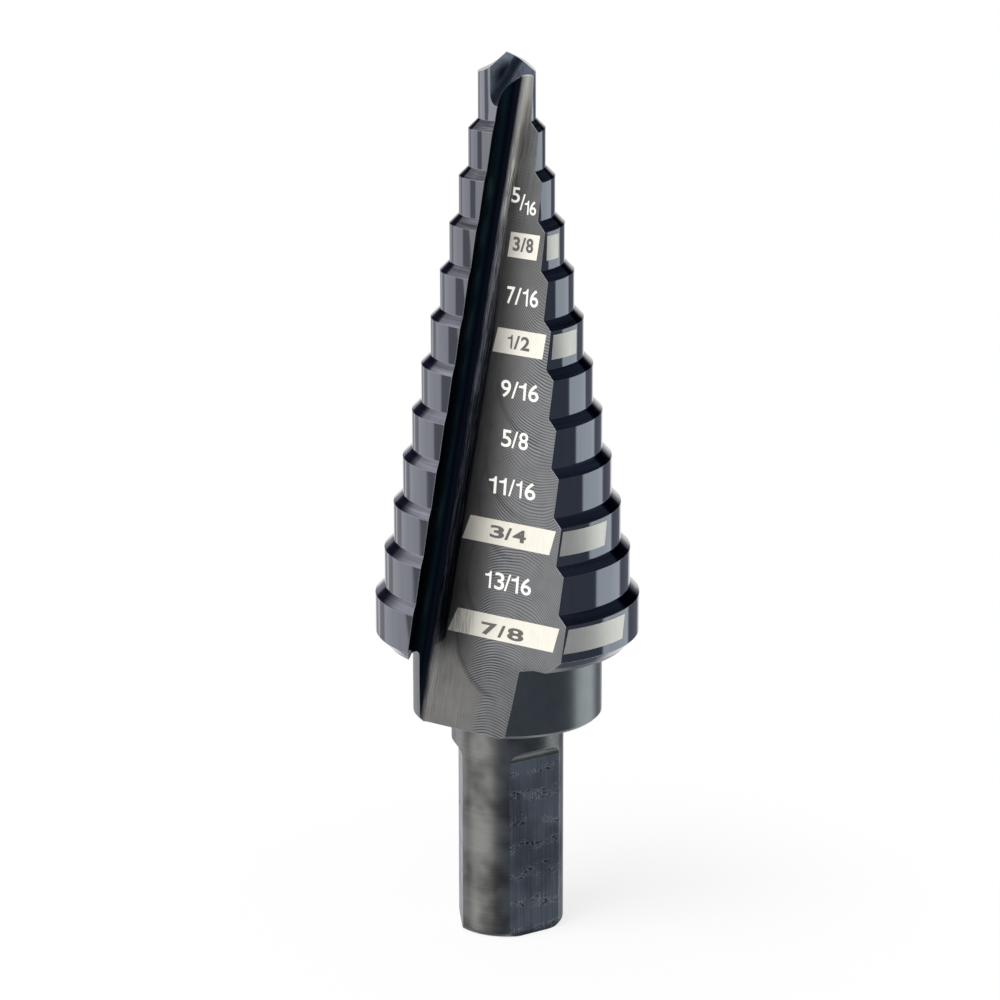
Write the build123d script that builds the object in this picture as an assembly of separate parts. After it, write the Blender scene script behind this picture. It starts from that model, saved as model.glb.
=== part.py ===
from build123d import *
import os
from math import cos, radians, sin, tan

# A right-hand step drill, made in one piece: a split point, stepped diameters that two straight flutes
# cut into lands, a plain collar, and a round shank with three flats for the chuck.
# Millimetres, +Z towards the point, origin at the centre of the shank's end face. Azimuths are degrees
# about +Z, from -Y towards +X, which is the way that the drill turns when it cuts.

INCH = 25.4

# Shank
shank_diameter = 3 / 8 * INCH
shank_length = 18.95
shank_end_radius = 0.55  # round the shank's end
flat_count = 3
flat_offset = 4.02  # from the axis to each flat
flat_azimuth = 34.4  # of the first flat
flat_length = 15.65  # from the shank's end to the start of the run-out
flat_runout = 1.0  # radius left by the cutter at the flat's upper end

# Collar
collar_diameter = 16.0
collar_length = 6.25
collar_chamfer = 0.25
collar_fillet = 0.5  # between the collar and the shoulder over it

# Stepped lands
step_count = 12
smallest_diameter = 3 / 16 * INCH
diameter_rise = 1 / 16 * INCH
land_height = 3.15
chamfer_angle = 45  # of each step's chamfer, from the axis
widest_land_height = 3.35
back_chamfer = 1.1  # under the widest land
land_relief = 0.18  # sideways shift of the chamfer cones, so that each falls away behind its edge
relief_azimuth = -30  # which way that shift goes
seam_azimuth = -9  # inside a flute, where one land's steps hand over to the next land's

# Point
pilot_height = 4.35  # from the first chamfer to the outer corners of the lips
point_angle = 135
lip_azimuth = -37.5
lip_clearance = 28
chisel_width = 0.24

# Gashes that thin the web at the point
gash_lean = 48  # of the gash's bottom, from the axis
gash_drop = 2.0  # from the point down to where that bottom crosses the axis
gash_angle = 98
gash_nose = 0.85

# Flutes
flute_count = 2
flute_angle = 60
flute_nose = 1.5
flute_face_azimuth = -36.9  # which way the wide flat face looks
web_thickness = 1.6  # between the flutes, halfway up the pilot
root_end_azimuth = -78  # of the flute's root where it leaves the collar
root_end_gap = 0.9  # from the collar's surface out to that root

# Sizes worked out from those above
shank_radius = shank_diameter / 2
collar_radius = collar_diameter / 2
pilot_radius = smallest_diameter / 2
radius_rise = diameter_rise / 2
widest_radius = pilot_radius + (step_count - 1) * radius_rise
chamfer_height = radius_rise / tan(radians(chamfer_angle))
step_pitch = land_height + chamfer_height
shoulder_height = shank_length + collar_length
widest_land_base = shoulder_height + back_chamfer
widest_land_top = widest_land_base + widest_land_height
pilot_base = widest_land_top + (step_count - 2) * step_pitch + chamfer_height
lip_height = pilot_base + pilot_height
tip_height = lip_height + pilot_radius / tan(radians(point_angle / 2))
overlap = land_height / 2  # how far joined solids reach into each other
cone_spare = chamfer_height / 2  # how far a chamfer's cone runs on past its step
beyond = 3 * widest_radius  # long enough for a cutter to pass out of the drill's side
point_reach = 2 * smallest_diameter  # long enough for a cutter to pass out of the point


def outward(azimuth):
    """The horizontal unit vector at an azimuth."""
    return Vector(sin(radians(azimuth)), -cos(radians(azimuth)), 0)


def around(count, shape):
    """The shape and its copies, spaced evenly about the axis."""
    return [Rot(0, 0, turn * 360 / count) * shape for turn in range(count)]


def shank_and_collar():
    """The plain turned end, up into the foot of the widest land."""
    outline = Polyline(
        (0, 0),
        (shank_radius, 0),
        (shank_radius, shank_length),
        (collar_radius - collar_chamfer, shank_length),
        (collar_radius, shank_length + collar_chamfer),
        (collar_radius, shoulder_height),
        (widest_radius - back_chamfer, shoulder_height),
        (widest_radius, widest_land_base),
        (widest_radius, widest_land_base + overlap),
        (0, widest_land_base + overlap),
        close=True,
    )
    profile = make_face(outline)
    end_corner = profile.vertices().sort_by_distance((shank_radius, 0))[0]
    profile = fillet(end_corner, shank_end_radius)
    collar_corner = profile.vertices().sort_by_distance((collar_radius, shoulder_height))[0]
    profile = fillet(collar_corner, collar_fillet)
    return revolve(Plane.XZ * profile, Axis.Z)


def relieved_step(number):
    """A step's cylinder with its chamfer, whose cone is set off the axis towards the cutting edge."""
    radius = pilot_radius + number * radius_rise
    top = widest_land_top + (step_count - 1 - number) * step_pitch
    widest = number == step_count - 1
    below = widest_land_height if widest else land_height + overlap
    above = chamfer_height + cone_spare
    slope = tan(radians(chamfer_angle))
    upright = (Align.CENTER, Align.CENTER, Align.MIN)
    blank = Cylinder(radius, below + chamfer_height, align=upright)
    cone = Cone(radius + below * slope, radius - above * slope, below + above, align=upright)
    shift = land_relief * outward(relief_azimuth) - Vector(0, 0, land_relief / slope)
    return Pos(0, 0, top - below) * (blank & Pos(shift) * cone)


def lands():
    """All steps and the pilot: one flute's share is relieved behind its cutting edge, and repeated."""
    upright = (Align.CENTER, Align.CENTER, Align.MIN)
    foot = pilot_base - overlap
    steps = Pos(0, 0, foot) * Cylinder(pilot_radius, tip_height + overlap - foot, align=upright)
    for number in range(1, step_count):
        steps += relieved_step(number)
    share_angle = 360 / flute_count
    from_origin = (Align.NONE, Align.NONE, Align.MIN)
    share = Cylinder(beyond, tip_height + 2 * overlap, arc_size=share_angle, align=from_origin)
    steps &= Rot(0, 0, seam_azimuth - share_angle - 90) * share
    return Part() + around(flute_count, steps)


def flute():
    """A straight V with a round nose, ground along a root line that leans out towards the collar."""
    half_angle = radians(flute_angle / 2)
    root_depth = flute_nose / sin(half_angle) - flute_nose - web_thickness / 2
    bisector = flute_face_azimuth + (180 - flute_angle) / 2
    root_top = outward(bisector) * -root_depth + Vector(0, 0, pilot_base + pilot_height / 2)
    root_end = outward(root_end_azimuth) * (collar_radius + root_end_gap) + Vector(0, 0, shank_length)
    rise = (root_top - root_end).normalized()
    face = outward(flute_face_azimuth)
    face_normal = (face - rise * face.dot(rise)).normalized()
    across = rise.cross(face_normal)
    section = make_face(
        Polyline(
            (0, 0),
            (beyond, 0),
            (beyond * cos(2 * half_angle), -beyond * sin(2 * half_angle)),
            close=True,
        )
    )
    nose = section.vertices().sort_by_distance((0, 0))[0]
    section = fillet(nose, flute_nose)
    plane = Plane(origin=root_end, x_dir=across, z_dir=rise)
    return extrude(plane * section, 2 * tip_height, both=True)


def gash():
    """A notch from the web out through the land, which gives the lip its upright rake face."""
    ahead = outward(lip_azimuth + 90)
    lean = radians(gash_lean)
    valley = outward(lip_azimuth) * sin(lean) - Vector(0, 0, cos(lean))
    heel = radians(gash_angle)
    section = make_face(
        Polyline(
            (0, 0),
            (0, point_reach),
            (point_reach, point_reach),
            (point_reach * sin(heel), point_reach * cos(heel)),
            close=True,
        )
    )
    nose = section.vertices().sort_by_distance((0, 0))[0]
    section = fillet(nose, gash_nose)
    start = ahead * chisel_width / 2 + Vector(0, 0, tip_height - gash_drop)
    plane = Plane(origin=start, x_dir=ahead, z_dir=valley)
    return extrude(plane * section, point_reach, both=True)


def point_facet():
    """What is ground off behind one lip, down to the plane that the lip and its clearance share."""
    fall = outward(lip_azimuth) / tan(radians(point_angle / 2))
    fall += outward(lip_azimuth - 90) * tan(radians(lip_clearance))
    plane = Plane(origin=(0, 0, tip_height), z_dir=fall + Vector(0, 0, 1))
    width = 2 * point_reach
    return plane * Box(width, width, point_reach, align=(Align.CENTER, Align.CENTER, Align.MIN))


def shank_flat():
    """What is milled off the shank's side, with the cutter's radius at the upper end."""
    outer = flat_offset + flat_runout
    top = flat_length + flat_runout
    edges = Curve() + [
        Polyline((flat_offset, flat_length), (flat_offset, -overlap), (outer, -overlap), (outer, top)),
        CenterArc((outer, flat_length), flat_runout, 90, 90),
    ]
    cutter = extrude(Plane.XZ * make_face(edges), shank_radius, both=True)
    return Rot(0, 0, flat_azimuth - 90) * cutter


def step_drill():
    drill = lands() + shank_and_collar()
    drill -= around(flute_count, flute())
    drill -= around(flute_count, gash())
    drill -= around(flute_count, point_facet())
    drill -= around(flat_count, shank_flat())
    return drill


os.makedirs("parts", exist_ok=True)
export_step(step_drill(), "parts/step_drill.step")
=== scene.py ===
from math import cos, degrees, pi, radians, sin, tan

import bpy
from mathutils import Matrix, Vector


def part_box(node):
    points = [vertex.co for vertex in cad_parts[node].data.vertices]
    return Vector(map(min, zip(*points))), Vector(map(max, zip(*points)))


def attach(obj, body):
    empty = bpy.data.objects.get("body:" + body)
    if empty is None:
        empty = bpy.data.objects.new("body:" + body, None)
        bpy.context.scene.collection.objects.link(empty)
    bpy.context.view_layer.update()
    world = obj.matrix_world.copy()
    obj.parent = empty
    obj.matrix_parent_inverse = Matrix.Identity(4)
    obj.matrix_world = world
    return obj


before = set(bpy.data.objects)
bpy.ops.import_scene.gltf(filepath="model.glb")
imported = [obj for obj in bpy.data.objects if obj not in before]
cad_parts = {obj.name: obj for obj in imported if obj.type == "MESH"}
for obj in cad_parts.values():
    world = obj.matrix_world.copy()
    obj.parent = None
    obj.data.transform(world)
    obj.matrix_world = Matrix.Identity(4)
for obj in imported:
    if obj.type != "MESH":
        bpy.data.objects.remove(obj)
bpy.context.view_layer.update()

# ---- Camera -------------------------------------------------------------------------------------------
# A long lens a third of a metre in front of the drill, higher than its point and looking down on it, so
# that the steps show as shallow arcs.
MM = 0.001  # sizes below are in millimetres
FILM_WIDTH = 36.0
LENS_LENGTH = 147.03
CAMERA_DISTANCE = 329.58
CAMERA_HEIGHT = 128.64
CAMERA_DOWN = 15.474  # degrees
CAMERA_SIDEWAYS = 0.106
CAMERA_ROLL = 0.079

camera_data = bpy.data.cameras.new("camera")
camera_data.sensor_width = FILM_WIDTH
camera_data.lens = LENS_LENGTH
camera_data.clip_start = 10 * MM
camera_data.clip_end = 10000 * MM
camera = bpy.data.objects.new("camera", camera_data)
bpy.context.scene.collection.objects.link(camera)
camera.matrix_world = (
    Matrix.Translation(Vector((0, -CAMERA_DISTANCE, CAMERA_HEIGHT)) * MM)
    @ Matrix.Rotation(radians(CAMERA_SIDEWAYS), 4, "Z")
    @ Matrix.Rotation(radians(90 - CAMERA_DOWN), 4, "X")
    @ Matrix.Rotation(-radians(CAMERA_ROLL), 4, "Z")
)
bpy.context.scene.camera = camera

# ---- The drill ----------------------------------------------------------------------------------------
# One piece of hardened high-speed steel under a dark oxide coat. Its turned lands mirror the room, a cup
# wheel left fine arcs on the faces of its two flutes, the root beside them is painted near-black as shade
# over its oxide, and its hardening mottled the shank.


class Amount:
    """A number that a node tree works out; arithmetic on it adds the Math nodes."""

    def __init__(self, graph, socket):
        self.graph = graph
        self.socket = socket

    def math(self, operation, *others):
        return self.graph.add("ShaderNodeMath", {"operation": operation}, [self, *others])

    def __add__(self, other):
        return self.math("ADD", other)

    __radd__ = __add__

    def __mul__(self, other):
        return self.math("MULTIPLY", other)

    __rmul__ = __mul__

    def __sub__(self, other):
        return self.math("SUBTRACT", other)

    def __rsub__(self, other):
        return self.graph.add("ShaderNodeMath", {"operation": "SUBTRACT"}, [other, self])

    def __truediv__(self, other):
        return self.math("DIVIDE", other)

    def __neg__(self):
        return self * -1

    def __gt__(self, other):
        return self.math("GREATER_THAN", other)

    def __lt__(self, other):
        return self.math("LESS_THAN", other)

    def __abs__(self):
        return self.math("ABSOLUTE")

    def root(self):
        """The square root, or 0 for less than nothing."""
        return self.math("MAXIMUM", 0).math("SQRT")

    def ramp(self, low, high):
        """0 below low, 1 above high and smooth between them; low may be the higher of the two."""
        settings = {"interpolation_type": "SMOOTHSTEP"}
        return self.graph.add("ShaderNodeMapRange", settings, [self, low, high, 0.0, 1.0])

    def near(self, value, width):
        """1 at the value, falling to 0 at a distance of width."""
        return abs(self - value).ramp(width, width / 2)


class Graph:
    """A node tree, and the one method that makes each of its nodes."""

    def __init__(self, tree):
        self.tree = tree
        self.tree.nodes.clear()

    def add(self, kind, settings, inputs, output=0):
        """A node of this kind; inputs are its sockets' values or links, in order or by name."""
        node = self.tree.nodes.new(kind)
        for name, value in settings.items():
            if name == "stops":
                self.set_stops(node.color_ramp, value)
            else:
                setattr(node, name, value)
        pairs = inputs.items() if isinstance(inputs, dict) else enumerate(inputs)
        for key, value in pairs:
            if isinstance(value, Amount):
                self.tree.links.new(value.socket, node.inputs[key])
            else:
                node.inputs[key].default_value = value
        return Amount(self, node.outputs[output]) if node.outputs else node

    def set_stops(self, ramp, stops):
        """Give a colour ramp its stops, each a place from 0 to 1 and a colour."""
        while len(ramp.elements) < len(stops):
            ramp.elements.new(1)
        for element, (position, colour) in zip(ramp.elements, stops):
            element.position = position
            element.color = (*colour, 1)

    def parts(self, vector):
        """The three numbers of a vector."""
        node = self.add("ShaderNodeSeparateXYZ", {}, [vector]).socket.node
        return [Amount(self, socket) for socket in node.outputs]

    def vector(self, x, y, z):
        """One vector from three numbers."""
        return self.add("ShaderNodeCombineXYZ", {}, [x, y, z])

    def blend(self, factor, first, second):
        """From the first number to the second."""
        return self.add("ShaderNodeMix", {}, {0: factor, 2: first, 3: second})


class Finish(Graph):
    """The look of a surface or of the world."""

    def __init__(self, owner):
        owner.use_nodes = True
        self.owner = owner
        super().__init__(owner.node_tree)

    def place(self):
        """Where the point is on its piece, in millimetres."""
        there = self.add("ShaderNodeTexCoord", {}, [], "Object")
        return self.add("ShaderNodeVectorMath", {"operation": "SCALE"}, {0: there, "Scale": 1 / MM})

    def noise(self, place, scale=1.0, detail=2.0, roughness=0.5):
        """Cloudy noise, from 0 to 1 about 0.5."""
        inputs = {"Vector": place, "Scale": scale, "Detail": detail, "Roughness": roughness}
        return self.add("ShaderNodeTexNoise", {}, inputs)

    def steps(self, amount, stops):
        """A colour that runs through its stops as the amount goes from 0 to 1."""
        return self.add("ShaderNodeValToRGB", {"stops": stops}, [amount])

    def mix(self, factor, first, second):
        """One colour laid over another; each is three numbers or a colour already mixed."""
        first = first if isinstance(first, Amount) else (*first, 1)
        second = second if isinstance(second, Amount) else (*second, 1)
        return self.add("ShaderNodeMix", {"data_type": "RGBA"}, {0: factor, 6: first, 7: second}, 2)

    def tone(self, colour, amount):
        """The colour made lighter or darker by an amount about 1."""
        colour = colour if isinstance(colour, Amount) else (*colour, 1)
        grey = self.vector(amount, amount, amount)
        settings = {"data_type": "RGBA", "blend_type": "MULTIPLY"}
        return self.add("ShaderNodeMix", settings, {0: 1.0, 6: colour, 7: grey}, 2)

    def bump(self, height, depth, base=None):
        """A bump whose height of 1 stands for the depth, in millimetres."""
        inputs = {"Strength": 1.0, "Distance": depth * MM, "Height": height}
        if base:
            inputs["Normal"] = base
        return self.add("ShaderNodeBump", {}, inputs)

    def close(self, **inputs):
        """The surface itself; inputs are the Principled shader's, with _ for a space."""
        named = {name.replace("_", " "): value for name, value in inputs.items()}
        shader = self.add("ShaderNodeBsdfPrincipled", {}, named)
        self.add("ShaderNodeOutputMaterial", {}, {"Surface": shader})
        return self.owner


def outward(azimuth):
    """The horizontal unit vector at an azimuth, in degrees from -Y towards +X."""
    return Vector((sin(radians(azimuth)), -cos(radians(azimuth)), 0))


INCH = 25.4
SHANK_LENGTH = 18.95
COLLAR_LENGTH = 6.25
COLLAR_FILLET = 0.5
PILOT_BASE = 69.88
PILOT_RADIUS = 3 / 32 * INCH
collar_top = SHANK_LENGTH + COLLAR_LENGTH
tip_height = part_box("step_drill")[1].z / MM

# The flute's wide face, the round root beside it, and the steep wall beyond. The root rounds off a sharp
# line, which leans from the web, near the point, out to the side of the collar.
FACE_AZIMUTH = -36.9
FLUTE_ANGLE = 60
ROOT_RADIUS = 1.5
WEB_THICKNESS = 1.6
WEB_HEIGHT = 72.05  # where the web is that thick
ROOT_END_AZIMUTH = -78
ROOT_END_REACH = 8.9
half_angle = radians(FLUTE_ANGLE / 2)
root_depth = ROOT_RADIUS / sin(half_angle) - ROOT_RADIUS - WEB_THICKNESS / 2
bisector = FACE_AZIMUTH + (180 - FLUTE_ANGLE) / 2
line_high = outward(bisector) * -root_depth + Vector((0, 0, WEB_HEIGHT))
line_low = outward(ROOT_END_AZIMUTH) * ROOT_END_REACH + Vector((0, 0, SHANK_LENGTH))
rise = (line_high - line_low).normalized()
level_normal = outward(FACE_AZIMUTH)
face_normal = (level_normal - rise * level_normal.dot(rise)).normalized()
across = rise.cross(face_normal)
wall_normal = across * sin(2 * half_angle) - face_normal * cos(2 * half_angle)
root_tangent = ROOT_RADIUS / tan(half_angle)  # from the sharp line to where the face starts

steel = Finish(bpy.data.materials.new("oxide_steel"))
place = steel.place()
x, y, z = steel.parts(place)
normal_x, normal_y, normal_z = steel.parts(steel.add("ShaderNodeTexCoord", {}, [], "Normal"))
turn = 1 - 2 * (y > 0)  # the second flute is the first, turned half round
flute_x = x * turn
flute_y = y * turn
radius = (x * x + y * y).root()


def along(direction):
    """How far a point lies along a direction from the flute's sharp line."""
    offset = line_low.dot(direction)
    return flute_x * direction.x + flute_y * direction.y + z * direction.z - offset


def facing(direction):
    """The cosine between the surface's normal and a direction."""
    return (normal_x * direction.x + normal_y * direction.y) * turn + normal_z * direction.z


across_face = along(across) - root_tangent  # across the face, from the edge of the root
up_flute = along(rise)  # up the flute
off_face = along(face_normal)  # out from the face
past_axis = off_face - ROOT_RADIUS  # out from the root's axis
SLACK = 0.05  # how far off a surface a point of it may seem to lie
SIDE_SLACK = 0.02
SAME_WAY = 0.98  # the least cosine between two normals of one flat surface
above_shank = z.ramp(SHANK_LENGTH - SLACK, SHANK_LENGTH)
beyond_root = (across_face > -SIDE_SLACK) * above_shank
on_face = off_face.near(0, SLACK) * (facing(face_normal) > SAME_WAY) * beyond_root
from_root_axis = (across_face * across_face + past_axis * past_axis).root()
on_root = (from_root_axis < ROOT_RADIUS + SLACK) * (across_face < SIDE_SLACK) * above_shank
on_wall = along(wall_normal).near(0, SLACK) * (facing(wall_normal) > SAME_WAY)
on_wall = on_wall * above_shank * (1 - on_root)
on_flute = on_face.math("MAXIMUM", on_root)

# How far a point lies from the root's edge: across the face it is positive, and round the root negative
root_turn = (-across_face).math("ARCTAN2", -past_axis).math("MAXIMUM", 0)
round_from_edge = across_face.math("MAXIMUM", 0) - root_turn * ROOT_RADIUS
streaks = steel.noise(steel.vector(round_from_edge * 7, up_flute * 0.10, 0.0), detail=3.0, roughness=0.65)
fine_streaks = steel.noise(steel.vector(round_from_edge * 16, up_flute * 0.35, 4.0), roughness=0.6)

# The root: painted near-black as shade over its dark oxide, with a teal bloom on its far side that is a
# painted reflection
whole_root_turn = radians(180 - FLUTE_ANGLE)
root_shade_and_reflection = steel.steps(
    root_turn / whole_root_turn,
    [
        (0.00, (0.006, 0.010, 0.016)),
        (0.24, (0.004, 0.006, 0.012)),
        (0.34, (0.020, 0.024, 0.038)),
        (0.46, (0.008, 0.012, 0.020)),
        (0.62, (0.024, 0.052, 0.068)),
        (0.80, (0.028, 0.062, 0.078)),
        (1.00, (0.008, 0.012, 0.018)),
    ],
)
streaked_root_shade = steel.tone(root_shade_and_reflection, 0.7 + streaks)

# Beside it a strip on the root's round, with streaks that the wheel's corner left. Its pale and dark are
# painted light and shade: pale near the point and dark farther down
STRIP_TOP = 56.0
near_point = up_flute.ramp(44, 50)
strip_light_and_shade = steel.steps(
    up_flute / STRIP_TOP,
    [
        (0.00, (0.190, 0.186, 0.178)),
        (0.12, (0.170, 0.170, 0.172)),
        (0.16, (0.050, 0.055, 0.062)),
        (0.35, (0.108, 0.118, 0.145)),
        (0.55, (0.147, 0.157, 0.186)),
        (0.70, (0.197, 0.200, 0.212)),
        (0.82, (0.330, 0.320, 0.300)),
        (1.00, (0.360, 0.350, 0.330)),
    ],
)
broad_lines = streaks.ramp(0.40, 0.60)
thin_lines = fine_streaks.ramp(0.48, 0.60)
lined_tone = 0.15 + up_flute.ramp(22, 38) * 0.25 + broad_lines * 0.55 + thin_lines * 1.2
smooth_tone = 0.45 + fine_streaks * 0.9
strip_light_and_streaks = steel.tone(strip_light_and_shade, steel.blend(up_flute.ramp(46, 53), lined_tone, smooth_tone))
strip_edge = 0.12 + near_point * 0.7
on_strip = round_from_edge.ramp(-0.95, -0.70) * round_from_edge.ramp(strip_edge + 0.15, strip_edge - 0.1)

# Marks of the cup wheel on the face: parts of circles that shift up a little each pass. The wheel's leading
# side cut the lower ones and its trailing side those higher up, and near the root both show in patches.
WHEEL_RADIUS = 5.4
WHEEL_CENTRE = 6.6
WHEEL_PITCH = 0.245
from_centre = across_face - WHEEL_CENTRE
reach = (WHEEL_RADIUS * WHEEL_RADIUS - from_centre * from_centre).root()
wander = steel.noise(place, scale=0.35, detail=1.0)


def wheel_marks(side):
    """The marks of the wheel's leading (-1) or trailing (+1) side, as a wave from -1 to 1."""
    passes = (up_flute + reach * side) / WHEEL_PITCH + wander * 3
    return (passes * 2 * pi).math("SINE")


trailing_share = up_flute.ramp(17.0, 19.5)
leading = wheel_marks(-1)
trailing = wheel_marks(1)
main_marks = steel.blend(trailing_share, leading, trailing)
other_marks = steel.blend(trailing_share, trailing, leading)
crossed = steel.noise(place, scale=0.5, detail=1.0).ramp(0.46, 0.60) * across_face.ramp(5.5, 3.0)
marks = main_marks * (1 - crossed * 0.4) + other_marks * crossed * 0.6

# A few deeper passes, the lowest of which bounds a smooth fan that the wheel no longer reached
DEEP_PASSES = [9.5, 14.6, 21.2, 25.0, 31.5]  # how far up the flute the wheel's centre was
DEEP_WIDTH = 0.30
DEEP_TOP = 1.5  # over the wheel's centre


def from_wheel(above_centre):
    """How far a point is from the wheel's centre, when it lies so far above that."""
    return (from_centre * from_centre + above_centre * above_centre).root()


deep = 0
for wheel_height in DEEP_PASSES:
    above_centre = up_flute - wheel_height
    rim = from_wheel(above_centre).near(WHEEL_RADIUS, DEEP_WIDTH) * (above_centre < DEEP_TOP)
    deep = deep + rim * across_face.ramp(6.8, 5.0) * across_face.ramp(1.1, 1.6)
above_lowest = up_flute - DEEP_PASSES[0]
beyond_wheel = from_wheel(above_lowest).ramp(WHEEL_RADIUS - 0.25, WHEEL_RADIUS + 0.3)
fan = beyond_wheel * (above_lowest < 0) * across_face.ramp(5.5, 4.0)

# The marks are deepest in patches, well away from the root and below the point
patchy = steel.noise(place, scale=0.45, detail=1.0).ramp(0.36, 0.62)
mark_start = 2.6 - up_flute.ramp(33, 44) * 2.0
cut_depth = (across_face - mark_start).ramp(0, 1.2) * (0.35 + patchy * 0.65) * up_flute.ramp(52, 44)
mark_depth = (cut_depth * (1 - across_face.ramp(5.5, 8.0) * 0.5) + 0.12) * (1 - fan * 0.9)

# The face: browner beside the root, paler at its free edge, and darker at its foot
FACE_INNER_COLOUR = (0.148, 0.144, 0.143)
FACE_OUTER_COLOUR = (0.205, 0.209, 0.214)
FACE_HIGH_COLOUR = (0.155, 0.155, 0.153)
FAN_COLOUR = (0.188, 0.185, 0.178)
clouds = steel.noise(place, scale=0.8)
low_face_colour = steel.mix(across_face.ramp(0.8, 5.5), FACE_INNER_COLOUR, FACE_OUTER_COLOUR)
whole_face_colour = steel.mix(up_flute.ramp(33, 45), low_face_colour, FACE_HIGH_COLOUR)
streak_strength = 0.12 + up_flute.ramp(40, 48) * 0.5 + fan * 0.25 + across_face.ramp(2.0, 0.3) * 0.45
streak_tone = ((streaks - 0.5) + (fine_streaks - 0.5) * 1.5) * streak_strength
foot_shade = up_flute.ramp(9.0, 6.5) * (1 - fan) * 0.22
mark_tone = marks * mark_depth * 0.48 - deep * 0.17
face_tone = 0.92 + mark_tone + (clouds - 0.5) * 0.30 + streak_tone - foot_shade
face_colour = steel.tone(steel.mix(fan, whole_face_colour, FAN_COLOUR), face_tone)

# The face takes over from the strip, farther round towards the root where the groove runs out at the collar
FACE_EDGE_WIDTH = 0.28
groove_end = up_flute.ramp(7.9, 6.7)
face_start = 0.12 - up_flute.ramp(33, 40) * 0.25 + near_point * 0.35 - groove_end * 0.85
shown = (round_from_edge - face_start).ramp(0, FACE_EDGE_WIDTH)
flute_colour = steel.mix(shown, steel.mix(on_strip, streaked_root_shade, strip_light_and_streaks), face_colour)
WALL_COLOUR = (0.110, 0.114, 0.122)
wall_colour = steel.tone(WALL_COLOUR, 0.6 + streaks * 0.8)

# Lands: faint upright smears over fine turning rings
LAND_COLOUR = (0.195, 0.202, 0.226)
azimuth = flute_x.math("ARCTAN2", -flute_y) * degrees(1)
smears = steel.noise(steel.vector(azimuth * 0.30, z * 0.10, 0.0), detail=3.0, roughness=0.6)
rings = steel.noise(steel.vector(azimuth * 0.012, z * 11, 0.0))
on_pilot = z.ramp(PILOT_BASE - 0.1, PILOT_BASE + 0.1)
land_tone = 0.86 + smears * 0.22 + rings * 0.06 + on_pilot * 0.35
plain_land_colour = steel.tone(LAND_COLOUR, land_tone)

# The chamfers, which do the cutting, are darker, and darker still towards the top, with plain rings round
# them
CHAMFER_COLOUR = (0.145, 0.147, 0.165)
on_chamfer = (normal_z > 0.5) * (normal_z < 0.85) * (z < PILOT_BASE + 0.1)
chamfer_rings = steel.noise(steel.vector(azimuth * 0.01, z * 3.2, 7.0), roughness=0.7)
chamfer_tone = 0.80 + (chamfer_rings - 0.5) * 2.2 + smears * 0.3 - z.ramp(40, 68) * 0.40
chamfer_colour = steel.tone(CHAMFER_COLOUR, chamfer_tone)
stepped_colour = steel.mix(on_chamfer, plain_land_colour, chamfer_colour)

# The collar is a little duller and more neutral, up to the end of its fillet
COLLAR_COLOUR = (0.225, 0.237, 0.232)
fillet_top = collar_top + COLLAR_FILLET
on_collar = z.ramp(fillet_top + 0.05, fillet_top - 0.15)
collar_colour = steel.tone(COLLAR_COLOUR, 0.85 + clouds * 0.3 + rings * 0.05)
turned_colour = steel.mix(on_collar, stepped_colour, collar_colour)

# The split point's gashes are dark, with the wheel's lines along them. Their one oxide is painted lighter
# on the steep rake and darker on the heel that faces up, as painted light and shade.
GASH_REACH = 4.7  # from the point down
LIT_RAKE_COLOUR = (0.150, 0.172, 0.205)
SHADED_HEEL_COLOUR = (0.064, 0.072, 0.090)
gash_foot = tip_height - GASH_REACH
inside_point = z.ramp(gash_foot - SIDE_SLACK, gash_foot) * (radius < PILOT_RADIUS - SLACK / 2)
on_gash = inside_point * (normal_z < 0.80) * (1 - on_flute) * (1 - on_wall)
gash_lines = steel.noise(steel.vector(flute_x * 5 - flute_y * 3, z * 1.2, 2.0), roughness=0.6)
gash_light_and_shade = steel.mix(normal_z.ramp(0.15, 0.60), LIT_RAKE_COLOUR, SHADED_HEEL_COLOUR)
gash_colour = steel.tone(gash_light_and_shade, 0.30 + gash_lines * 1.4)

# Shank: mottled where it is round, brushed lengthways with dark scale in rows on its three flats
SHANK_COLOUR = (0.205, 0.205, 0.196)
FLAT_COLOUR = (0.330, 0.345, 0.362)
FLAT_COUNT = 3
FLAT_AZIMUTH = 34.4
FLAT_LENGTH = 15.65
SCALE_PITCH = 2.35
normal_azimuth = normal_x.math("ARCTAN2", -normal_y)
looks_as_a_flat = ((normal_azimuth - radians(FLAT_AZIMUTH)) * FLAT_COUNT).math("COSINE") > 0.97
below_collar = z.ramp(SHANK_LENGTH + SIDE_SLACK, SHANK_LENGTH - SIDE_SLACK)
on_flat = looks_as_a_flat * (abs(normal_z) < 0.05) * (z < FLAT_LENGTH + SIDE_SLACK)
on_runout = (normal_z < -0.06) * (z > FLAT_LENGTH - 0.1) * (z < SHANK_LENGTH - 0.5)
mottle = steel.noise(place, scale=0.22, detail=2.5, roughness=0.55)
turning = steel.noise(steel.vector(azimuth * 0.01, z * 7, 0.0), detail=3.0, roughness=0.7)
brush = steel.noise(steel.vector(x * 7, y * 7, z * 0.15), detail=3.0, roughness=0.65)
scale_rows = ((z / SCALE_PITCH + mottle * 1.8) * 2 * pi).math("SINE").ramp(0.1, 0.9)
scale_patches = steel.noise(steel.vector(x * 0.8, y * 0.8, z * 1.0), detail=1.0)
scale_grain = steel.noise(steel.vector(x * 2.6, y * 2.6, z * 5.0), detail=3.0, roughness=0.75)
scale = scale_rows * scale_patches.ramp(0.42, 0.52) * scale_grain.ramp(0.48, 0.56) * on_flat
round_tone = 0.53 + mottle.ramp(0.36, 0.60) * 0.75 + (turning - 0.5) * 0.45
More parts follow.
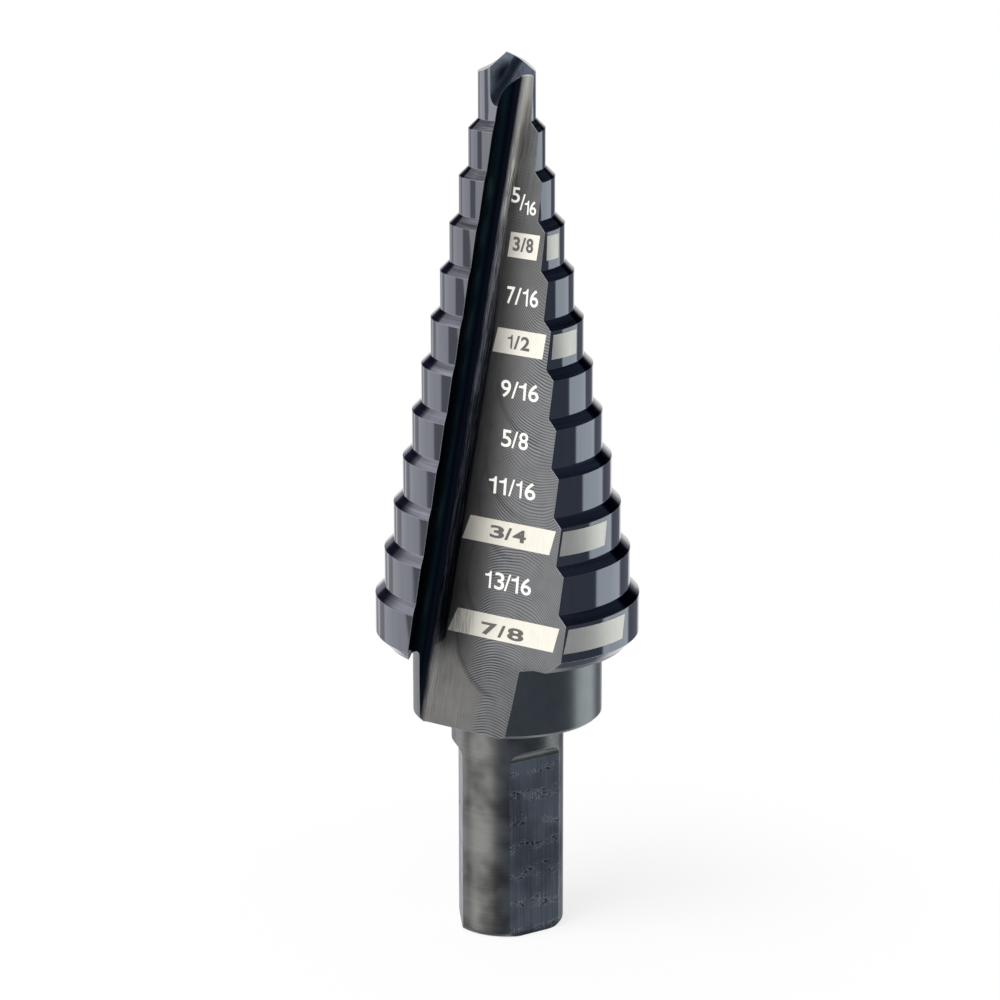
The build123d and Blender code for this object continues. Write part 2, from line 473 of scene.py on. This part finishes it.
flat_tone = 0.66 + (brush - 0.5) * 1.1 + mottle.ramp(0.38, 0.62) * 0.35 - scale * 0.55
round_colour = steel.tone(SHANK_COLOUR, round_tone)
even_shank_colour = steel.mix(on_flat, round_colour, steel.tone(FLAT_COLOUR, flat_tone))
# The flats' concave run-outs are painted darker as shade, and the shank is darker towards its bottom end
end_rim = z.ramp(0.8, 0.1)
shank_colour = steel.tone(even_shank_colour, 1 - on_runout * 0.42 - end_rim * 0.5)

# Every sharp edge is very slightly round, and is painted paler: partly its oxide rubbed thin, partly a
# painted highlight
EDGE_RADIUS = 0.08
EDGE_WEAR_AND_HIGHLIGHT_COLOUR = (0.50, 0.50, 0.51)
edge_normal = steel.add("ShaderNodeBevel", {"samples": 6}, {"Radius": EDGE_RADIUS * MM})
own_normal = steel.add("ShaderNodeNewGeometry", {}, [], "Normal")
dot_product = {"operation": "DOT_PRODUCT"}
same_way = steel.add("ShaderNodeVectorMath", dot_product, [edge_normal, own_normal], "Value")
edge_wear_and_highlight = (1 - same_way).ramp(0.01, 0.10)

# All of the surfaces together: their colours, how dull they are, and their fine relief
colour = steel.mix(below_collar, turned_colour, shank_colour)
colour = steel.mix(on_gash, colour, gash_colour)
colour = steel.mix(on_wall, colour, wall_colour)
colour = steel.mix(on_flute, colour, flute_colour)
# Paler edges: partly rubbed oxide, partly a painted highlight
colour = steel.mix(edge_wear_and_highlight * 0.8, colour, EDGE_WEAR_AND_HIGHLIGHT_COLOUR)

CHAMFER_ROUGHNESS = 0.12
COLLAR_ROUGHNESS = 0.28
ROOT_ROUGHNESS = 0.32
GASH_ROUGHNESS = 0.35
FACE_ROUGHNESS = 0.42
land_roughness = 0.06 + smears * 0.03
shank_roughness = 0.26 + mottle * 0.12
flute_roughness = steel.blend(shown, ROOT_ROUGHNESS, FACE_ROUGHNESS)
roughness = steel.blend(on_chamfer, land_roughness, CHAMFER_ROUGHNESS)
roughness = steel.blend(on_collar, roughness, COLLAR_ROUGHNESS)
roughness = steel.blend(below_collar, roughness, shank_roughness)
roughness = steel.blend(on_flute, roughness, flute_roughness)
roughness = steel.blend(on_gash, roughness, GASH_ROUGHNESS)

RELIEF_UNIT = 0.002  # the depth that a relief of 1 stands for
relief = rings * (1 - on_flute) * 0.15
relief = relief + (marks * mark_depth - deep) * on_face
relief = relief + streaks * (on_root + on_wall) * 1.5
relief = relief + mottle * below_collar * (1 - on_flat) * 12
relief = relief + brush * on_flat * 2 - scale * 7
normal = steel.bump(relief, RELIEF_UNIT, edge_normal)

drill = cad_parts["step_drill"]
drill.data.materials.clear()
drill.data.materials.append(
    steel.close(Base_Color=colour, Metallic=1.0, Roughness=roughness, Normal=normal)
)

# ---- Bands on the flute's face and on the land beside it ----------------------------------------------
# Bare metal where a laser took the oxide coat off, at 3/8, 1/2, 3/4 and 7/8 inch: a long band on the face,
# and one that goes on round the land behind it. They stand a hair proud, so that they cover the coat.
WIDEST = 14  # sixteenths of an inch, which the drill's last step cuts
WIDEST_TOP = 29.65
STEP_PITCH = 3.94375
BAND_LIFT = 0.012
BAND_HEIGHT = 2.05
BAND_GAP = 0.55  # from the step's upper edge down to the band
level_across = Vector((0, 0, 1)).cross(face_normal).normalized()
level_out = Vector((face_normal.x, face_normal.y, 0))
face_offset = line_low.dot(face_normal)


def step_radius(sixteenths):
    """The radius of the step that cuts so many sixteenths of an inch."""
    return sixteenths * INCH / 32


def step_top(sixteenths):
    """The height of that step's upper edge."""
    return WIDEST_TOP + (WIDEST - sixteenths) * STEP_PITCH


def on_the_face(sideways, height, lift):
    """The point at a height, so far sideways from the drill's axis, that stands off the face by lift."""
    out = (face_offset - face_normal.z * height) / level_out.length_squared
    return level_across * sideways + level_out * out + Vector((0, 0, height)) + face_normal * lift


def drill_piece(name, mesh, material):
    """A piece that lies on the drill and belongs to its steel."""
    mesh.materials.clear()
    mesh.materials.append(material)
    made = bpy.data.objects.new(name, mesh)
    bpy.context.scene.collection.objects.link(made)
    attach(made, "root")


# The bare steel is finely brushed, and the widest band is darker in lines at its inner end
BARE_COLOUR = (0.82, 0.79, 0.70)
DARK_END_COLOUR = (0.36, 0.355, 0.33)
DARK_EDGE_LEAN = 0.115  # DARK_EDGE_LEAN = 0.115 # sideways for each millimetre up, along the edge of the darker end
DARK_EDGE_HEIGHT = 27.9  # at which that edge is measured from the drill's axis
bare = Finish(bpy.data.materials.new("bare_steel_band"))
bare_place = bare.place()
bare_x, bare_y, bare_z = bare.parts(bare_place)
grain = bare.noise(bare_place, scale=7.0, detail=3.0, roughness=0.75)
brushed = bare.noise(bare.vector(bare_x * 5, bare_y * 5, bare_z * 0.4))
cloudy = bare.noise(bare_place, scale=0.6)
bare_sideways = bare_x * level_across.x + bare_y * level_across.y
from_dark_edge = bare_sideways - DARK_EDGE_LEAN * (bare_z - DARK_EDGE_HEIGHT)
dark_end = from_dark_edge.ramp(0.9, -0.3) * (bare_z < WIDEST_TOP)
dark_lines = bare.noise(bare.vector(bare_sideways * 6, bare_z * 0.5, 0.0), detail=3.0, roughness=0.7)
darkening = dark_end * (0.15 + dark_lines.ramp(0.40, 0.60) * 0.60)
bare_tone = 0.80 + grain * 0.14 + brushed * 0.12 + cloudy * 0.10
bare_material = bare.close(
    Base_Color=bare.tone(bare.mix(darkening, BARE_COLOUR, DARK_END_COLOUR), bare_tone),
    Metallic=0.9,
    Roughness=0.42 + grain * 0.1,
    Normal=bare.bump(grain, 0.004),
)


class Shape(Graph):
    """A Geometry Nodes tree that makes a mesh from its named inputs."""

    def __init__(self, name, inputs):
        tree = bpy.data.node_groups.new(name, "GeometryNodeTree")
        super().__init__(tree)
        tree.interface.new_socket("Geometry", in_out="OUTPUT", socket_type="NodeSocketGeometry")
        for label in inputs:
            tree.interface.new_socket(label, in_out="INPUT", socket_type="NodeSocketFloat")
        node = self.add("NodeGroupInput", {}, []).socket.node
        self.given = {label: Amount(self, node.outputs[label]) for label in inputs}

    def close(self, geometry, material):
        """The tree's end: its geometry made real, in its material."""
        geometry = self.add("GeometryNodeRealizeInstances", {}, [geometry])
        finished = self.add("GeometryNodeSetMaterial", {}, {"Geometry": geometry, "Material": material})
        self.add("NodeGroupOutput", {}, [finished])

    def mesh(self, values):
        """The plain mesh for these values of the inputs."""
        carrier = bpy.data.objects.new("carrier", bpy.data.meshes.new("carrier"))
        bpy.context.scene.collection.objects.link(carrier)
        modifier = carrier.modifiers.new("shape", "NODES")
        modifier.node_group = self.tree
        for socket in self.tree.interface.items_tree:
            if socket.in_out == "INPUT":
                modifier[socket.identifier] = float(values[socket.name])
        evaluated = carrier.evaluated_get(bpy.context.evaluated_depsgraph_get())
        made = bpy.data.meshes.new_from_object(evaluated)
        bpy.data.objects.remove(carrier)
        return made


# The band on a land: a level strip bent round the land, whose ends may lean. It starts as a flat grid one
# metre wide and high, about the origin.
GRID_COLUMNS = 25
band = Shape("land_band", ["Radius", "Bottom", "Top", "Start", "End", "Start Lean", "End Lean"])
given = band.given
grid_inputs = {"Size X": 1.0, "Size Y": 1.0, "Vertices X": GRID_COLUMNS, "Vertices Y": 2}
grid = band.add("GeometryNodeMeshGrid", {}, grid_inputs)
grid_x, grid_y = band.parts(band.add("GeometryNodeInputPosition", {}, []))[:2]
along_share = grid_x + 0.5
down_share = 0.5 - grid_y
start_azimuth = given["Start"] + given["Start Lean"] * down_share
end_azimuth = given["End"] + given["End Lean"] * down_share
band_turn = (start_azimuth + (end_azimuth - start_azimuth) * along_share) * radians(1)
band_x = band_turn.math("SINE") * given["Radius"] * MM
band_y = band_turn.math("COSINE") * given["Radius"] * -MM
band_z = (given["Top"] + (given["Bottom"] - given["Top"]) * down_share) * MM
moved = {"Geometry": grid, "Position": band.vector(band_x, band_y, band_z)}
band.close(band.add("GeometryNodeSetPosition", {}, moved), bare_material)

# Each band: sixteenths of an inch; its ends on the face, sideways from the axis at the top, and how far
# they slant below; then its ends on the land, as azimuths at the top, and how far they turn back below
BANDS = [
    (6, (1.26, 4.18), (-0.19, -0.18), (43.2, 62.0), (-0.8, 0.0)),
    (8, (0.68, 5.56), (-0.39, -0.22), (36.4, 63.5), (-1.7, 0.0)),
    (12, (-0.65, 8.04), (-0.70, -0.48), (28.6, 59.7), (-2.0, -2.1)),
    (14, (-1.24, 9.15), (-0.89, -0.47), (26.8, 61.3), (-2.4, -2.2)),
]

for sixteenths, ends, slants, azimuths, turns in BANDS:
    top = step_top(sixteenths) - BAND_GAP
    bottom = top - BAND_HEIGHT
    top_left, top_right = [on_the_face(end, top, BAND_LIFT) for end in ends]
    low_ends = [end + slant for end, slant in zip(ends, slants)]
    low_left, low_right = [on_the_face(end, bottom, BAND_LIFT) for end in low_ends]
    corners = [low_left, low_right, top_right, top_left]
    patch = bpy.data.meshes.new("face_patch")
    patch.from_pydata([corner * MM for corner in corners], [], [(0, 1, 2, 3)])
    drill_piece(f"face_band_{sixteenths}", patch, bare_material)
    values = {
        "Radius": step_radius(sixteenths) + BAND_LIFT,
        "Bottom": bottom,
        "Top": top,
        "Start": azimuths[0],
        "End": azimuths[1],
        "Start Lean": turns[0],
        "End Lean": turns[1],
    }
    drill_piece(f"land_band_{sixteenths}", band.mesh(values), bare_material)

# ---- Size numbers -------------------------------------------------------------------------------------
# The inch size of each step from 5/16 up, in plain sans figures that are set one by one: lasered white on
# the oxide, and burnt dark on the bare bands.
NUMBER_LIFT = 0.032
WHITE_COLOUR = (0.74, 0.73, 0.68)
BURNT_COLOUR = (0.085, 0.083, 0.080)
WHITE_STROKE = 0.012  # added round each figure's outline, as a share of its size
BURNT_STROKE = 0.028


def mark_finish(name, mark_colour):
    """A dull finish with a fine speckle."""
    mark = Finish(bpy.data.materials.new(name))
    speckle = mark.noise(mark.place(), scale=9.0, roughness=0.7)
    return mark.close(
        Base_Color=mark.tone(mark_colour, 0.88 + speckle * 0.24),
        Metallic=0.0,
        Roughness=0.6,
        Normal=mark.bump(speckle, 0.003),
    )


white_mark = mark_finish("white_laser_mark", WHITE_COLOUR)
burnt_mark = mark_finish("burnt_laser_mark", BURNT_COLOUR)

# A figure one with a flag and no foot, in a unit square
ONE = [
    (0.66, 0), (1, 0), (1, 1), (0.76, 1), (0.66, 0.89), (0.44, 0.82), (0, 0.79), (0, 0.68), (0.66, 0.68),
]

# Each number: its figures, with where each starts and ends sideways from the axis; how high its middle is;
# how tall it is; and its finish. The first three are one size, 5/16, whose parts step down.
NUMBERS = [
    ([("5", 1.06, 1.90)], 63.65, 1.27, white_mark),
    ([("/", 1.93, 2.45)], 63.15, 1.35, white_mark),
    ([("1", 2.42, 2.86), ("6", 2.95, 3.60)], 62.77, 1.15, white_mark),
    ([("3", 1.55, 2.25), ("/", 2.33, 2.83), ("8", 2.88, 3.58)], 59.72, 1.20, burnt_mark),
    ([("7", 1.33, 2.13), ("/", 2.18, 2.78), ("1", 2.92, 3.47), ("6", 3.67, 4.51)], 55.51, 1.44, white_mark),
    ([("1", 1.74, 2.24), ("/", 2.42, 2.98), ("2", 3.10, 3.98)], 51.74, 1.15, burnt_mark),
    ([("9", 1.46, 2.46), ("/", 2.56, 3.20), ("1", 3.25, 4.00), ("6", 4.25, 5.29)], 47.86, 1.44, white_mark),
    ([("5", 1.91, 2.91), ("/", 2.96, 3.55), ("8", 3.65, 4.60)], 43.81, 1.44, white_mark),
    (
        [("1", 0.97, 1.76), ("1", 2.01, 2.76), ("/", 3.01, 3.60), ("1", 3.75, 4.35), ("6", 4.65, 5.74)],
        39.84,
        1.44,
        white_mark,
    ),
    ([("3", 1.45, 2.90), ("/", 2.95, 3.67), ("4", 3.77, 5.12)], 36.00, 1.06, burnt_mark),
    (
        [("1", 1.32, 1.97), ("3", 2.31, 3.31), ("/", 3.31, 3.96), ("1", 4.01, 4.75), ("6", 5.00, 6.05)],
        31.98,
        1.44,
        white_mark,
    ),
    ([("7", 1.31, 2.91), ("/", 3.01, 3.78), ("8", 3.99, 5.64)], 27.85, 1.06, burnt_mark),
]
up_the_face = face_normal.cross(level_across)


def figure_outline(figure, stroke):
    """The figure as a flat mesh: its points, sideways and up, and its faces."""
    if figure == "1":
        return [Vector(point) for point in ONE], [tuple(range(len(ONE)))]
    if figure == "9":
        six_points, six_faces = figure_outline("6", stroke)
        return [-point for point in six_points], six_faces
    letter = bpy.data.curves.new("letter", "FONT")
    letter.body = figure
    letter.offset = stroke
    letter.resolution_u = 6
    typed = bpy.data.objects.new("typed", letter)
    bpy.context.scene.collection.objects.link(typed)
    bpy.context.view_layer.update()
    flat = bpy.data.meshes.new_from_object(typed.evaluated_get(bpy.context.evaluated_depsgraph_get()))
    bpy.data.objects.remove(typed)
    return [vertex.co.xy for vertex in flat.vertices], [tuple(face.vertices) for face in flat.polygons]


for number, (figures, middle, tall, finish) in enumerate(NUMBERS):
    points = []
    faces = []
    stroke = BURNT_STROKE if finish == burnt_mark else WHITE_STROKE
    for figure, left, right in figures:
        outline, outline_faces = figure_outline(figure, stroke)
        low = Vector([min(point[axis] for point in outline) for axis in (0, 1)])
        high = Vector([max(point[axis] for point in outline) for axis in (0, 1)])
        first = len(points)
        faces.extend(tuple(first + index for index in face) for face in outline_faces)
        for point in outline:
            sideways = left + (point.x - low.x) / (high.x - low.x) * (right - left)
            up = ((point.y - low.y) / (high.y - low.y) - 0.5) * tall
            points.append((on_the_face(sideways, middle, NUMBER_LIFT) + up_the_face * up) * MM)
    number_mesh = bpy.data.meshes.new("number")
    number_mesh.from_pydata(points, [], faces)
    drill_piece(f"number_{number}", number_mesh, finish)

# ---- Studio -------------------------------------------------------------------------------------------
# A white floor that the drill stands on, a soft lamp on the left, and a tent of light and dark cloths all
# round, which only the steel's gloss sees. Round the drill's foot the floor is partly matt, for its shadow.
FLOOR_REACH = 3000
FLOOR_GREY = 0.9
LEAST_GLOW = 0.80
SHADOW_START = 5
SHADOW_END = 45
floor_mesh = bpy.data.meshes.new("floor")
floor_sides = [(-1, -1, 0), (1, -1, 0), (1, 1, 0), (-1, 1, 0)]
floor_corners = [Vector(side) * FLOOR_REACH * MM for side in floor_sides]
floor_mesh.from_pydata(floor_corners, [], [(0, 1, 2, 3)])
floor = bpy.data.objects.new("floor", floor_mesh)
bpy.context.scene.collection.objects.link(floor)
floor_finish = Finish(bpy.data.materials.new("white_floor"))
floor_x, floor_y = floor_finish.parts(floor_finish.place())[:2]
from_drill = (floor_x * floor_x + floor_y * floor_y).root()
glow_share = LEAST_GLOW + from_drill.ramp(SHADOW_START, SHADOW_END) * (1 - LEAST_GLOW)
matt = floor_finish.add("ShaderNodeBsdfDiffuse", {}, {"Color": (FLOOR_GREY, FLOOR_GREY, FLOOR_GREY, 1)})
glow = floor_finish.add("ShaderNodeEmission", {}, {"Color": (1, 1, 1, 1), "Strength": 1.0})
floor_surface = floor_finish.add("ShaderNodeMixShader", {}, [glow_share, matt, glow])
floor_finish.add("ShaderNodeOutputMaterial", {}, {"Surface": floor_surface})
floor_mesh.materials.append(floor_finish.owner)
floor.visible_glossy = False

TENT_RADIUS = 600
TENT_SIDES = 120


def cloth(name, elevations, stops):
    """A belt of the tent between two elevations; stops are azimuths from -180 to 180 and their colours."""
    tent_points = []
    for elevation in elevations:
        for side in range(TENT_SIDES + 1):
            upward = Vector((0, 0, sin(radians(elevation))))
            sideward = outward(side * 360 / TENT_SIDES - 180) * cos(radians(elevation))
            tent_points.append((sideward + upward) * TENT_RADIUS * MM)
    row = TENT_SIDES + 1
    panels = [(side, side + 1, side + row + 1, side + row) for side in range(TENT_SIDES)]
    belt = bpy.data.meshes.new(name)
    belt.from_pydata(tent_points, [], panels)
    dye = Finish(bpy.data.materials.new(name))
    cloth_x, cloth_y = dye.parts(dye.place())[:2]
    round_tent = (cloth_x.math("ARCTAN2", -cloth_y) + pi) / (2 * pi)
    dyed = dye.steps(round_tent, [((azimuth + 180) / 360, tint) for azimuth, tint in stops])
    shine = dye.add("ShaderNodeEmission", {}, {"Color": dyed, "Strength": 1.0})
    dye.add("ShaderNodeOutputMaterial", {}, {"Surface": shine})
    belt.materials.append(dye.owner)
    hung = bpy.data.objects.new(name, belt)
    bpy.context.scene.collection.objects.link(hung)
    hung.visible_camera = False
    hung.visible_diffuse = False
    hung.visible_shadow = False
    hung.visible_transmission = False


WHITE = (1.0, 1.0, 1.0)
DARK = (0.13, 0.15, 0.19)
BRIGHT = (1.12, 1.22, 1.27)
FRONT_GREY = (0.33, 0.33, 0.36)
SIDE_LIGHT = (0.95, 0.96, 1.0)
SIDE_GREY = (0.45, 0.45, 0.50)
FAR_GREY = (0.20, 0.21, 0.26)
BLACK = (0.0, 0.0, 0.01)
INK = (0.02, 0.02, 0.05)
NIGHT = (0.06, 0.08, 0.13)
OVERHEAD = (1.50, 1.50, 1.60)
LOWER_STOPS = [
    (-166, WHITE),
    (-164, SIDE_GREY),
    (-153, SIDE_GREY),
    (-152, WHITE),
    (-149, WHITE),
    (-148, SIDE_GREY),
    (-136, SIDE_GREY),
    (-134, SIDE_LIGHT),
    (-99, SIDE_LIGHT),
    (-98, FRONT_GREY),
    (-81, FRONT_GREY),
    (-80, WHITE),
    (-36, WHITE),
    (-26, DARK),
    (90, DARK),
    (92, BRIGHT),
    (128, BRIGHT),
    (132, FAR_GREY),
    (156, FAR_GREY),
    (162, WHITE),
]
LEVEL_STOPS = [
    (-166, WHITE),
    (-164, SIDE_GREY),
    (-136, SIDE_GREY),
    (-134, SIDE_LIGHT),
    (-98, SIDE_LIGHT),
    (-80, WHITE),
    (-36, WHITE),
    (-26, DARK),
    (90, DARK),
    (92, BRIGHT),
    (128, BRIGHT),
    (132, FAR_GREY),
    (156, FAR_GREY),
    (162, WHITE),
]
MIDDLE_STOPS = [
    (-170, (0.90, 0.86, 0.82)),
    (-158, INK),
    (-142, INK),
    (-126, (1.10, 1.10, 1.18)),
    (-99, SIDE_LIGHT),
    (-98, FRONT_GREY),
    (-81, FRONT_GREY),
    (-80, WHITE),
    (-11, WHITE),
    (-10, DARK),
    (100, DARK),
    (126, DARK),
    (128, BLACK),
    (152, BLACK),
    (160, WHITE),
]
UPPER_STOPS = [
    (-140, (0.80, 0.80, 0.85)),
    (-120, OVERHEAD),
    (-60, OVERHEAD),
    (-20, (0.70, 0.71, 0.80)),
    (10, DARK),
    (90, NIGHT),
    (172, NIGHT),
]
cloth("lower_cloth", (-60, 1), LOWER_STOPS)
cloth("level_cloth", (1, 9), LEVEL_STOPS)
cloth("middle_cloth", (9, 29), MIDDLE_STOPS)
cloth("upper_cloth", (29, 88), UPPER_STOPS)

# The room beyond the tent: pure white to the eye and to gloss, dimmer as light on a matt surface
ROOM_LIGHT = 0.35
room = Finish(bpy.data.worlds.new("studio"))
bpy.context.scene.world = room.owner
seen = 0
for kind_of_ray in ("Is Camera Ray", "Is Glossy Ray", "Is Transmission Ray"):
    seen = room.add("ShaderNodeLightPath", {}, [], kind_of_ray).math("MAXIMUM", seen)
ambient = room.add("ShaderNodeBackground", {}, {"Color": (1, 1, 1, 1), "Strength": ROOM_LIGHT})
backdrop = room.add("ShaderNodeBackground", {}, {"Color": (1, 1, 1, 1), "Strength": 1.0})
room_light = room.add("ShaderNodeMixShader", {}, [seen, ambient, backdrop])
room.add("ShaderNodeOutputWorld", {}, {"Surface": room_light})

LAMP_AZIMUTH = -50
LAMP_DISTANCE = 500
LAMP_HEIGHT = 450
LAMP_SIZE = 600
LAMP_WATTS = 6
LIT_HEIGHT = 40  # of the point on the drill that the lamp looks at
lamp_data = bpy.data.lights.new("key_lamp", "AREA")
lamp_data.shape = "SQUARE"
lamp_data.size = LAMP_SIZE * MM
lamp_data.energy = LAMP_WATTS
lamp = bpy.data.objects.new("key_lamp", lamp_data)
bpy.context.scene.collection.objects.link(lamp)
lamp.location = (outward(LAMP_AZIMUTH) * LAMP_DISTANCE + Vector((0, 0, LAMP_HEIGHT))) * MM
to_drill = Vector((0, 0, LIT_HEIGHT)) * MM - lamp.location
lamp.rotation_euler = to_drill.to_track_quat("-Z", "Y").to_euler()

bpy.context.scene.view_settings.view_transform = "Standard"
